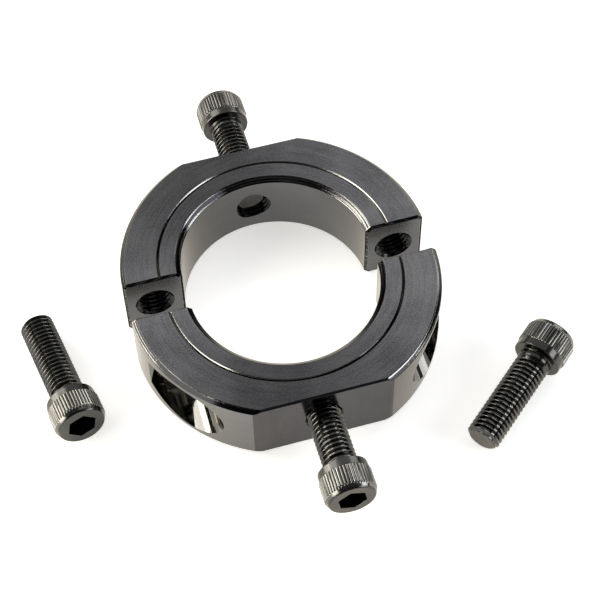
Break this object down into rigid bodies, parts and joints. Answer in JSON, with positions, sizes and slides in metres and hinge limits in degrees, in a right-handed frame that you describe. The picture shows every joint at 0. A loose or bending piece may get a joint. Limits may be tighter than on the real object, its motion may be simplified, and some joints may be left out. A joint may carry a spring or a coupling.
{
  "type": "two-piece clamping shaft collar",
  "caption": "Shaft collar in two bolted halves with a flat and a radial screw on each half, laid open beside its clamp screws.",
  "frame": {"origin": "middle of the bore axis in the tapped half", "axes": "+Z along the bore axis towards the grooved face, +Y from the saw cut into the tapped half, +X to the right along the saw cut"},
  "size_m": [0.0964, 0.0926, 0.0142],
  "materials": {
    "collar_steel": "turned and black-oxided, satin, with fine concentric tool marks on the faces",
    "screw_steel": "black-oxided and oiled, semi-gloss"
  },
  "bodies": {
    "tapped_half_body": {"tapped_half": "collar_steel"},
    "front_half_body": {"counterbored_half": "collar_steel"},
    "rear_radial_screw_body": {"rear_radial_screw": "screw_steel"},
    "front_radial_screw_body": {"front_radial_screw": "screw_steel"},
    "left_clamp_screw_body": {"left_clamp_screw": "screw_steel"},
    "right_clamp_screw_body": {"right_clamp_screw": "screw_steel"}
  },
  "joints": [
    {"name": "front_half_slide", "type": "slide", "parent": "tapped_half_body", "child": "front_half_body", "axis": [0, 1, 0], "range_m": [0, 0.0056]},
    {"name": "rear_screw_feed", "type": "slide", "parent": "tapped_half_body", "child": "rear_radial_screw_body", "axis": [0, -1, 0], "range_m": [-0.0057, 0.01195]},
    {"name": "front_screw_feed", "type": "slide", "parent": "front_half_body", "child": "front_radial_screw_body", "axis": [0, 1, 0], "range_m": [-0.0068, 0.01085]},
    {"name": "left_screw_lift", "type": "slide", "parent": "tapped_half_body", "child": "left_clamp_screw_body", "axis": [0, 0, 1], "range_m": [0, 0.03]},
    {"name": "right_screw_lift", "type": "slide", "parent": "tapped_half_body", "child": "right_clamp_screw_body", "axis": [0, 0, 1], "range_m": [0, 0.03]}
  ]
}
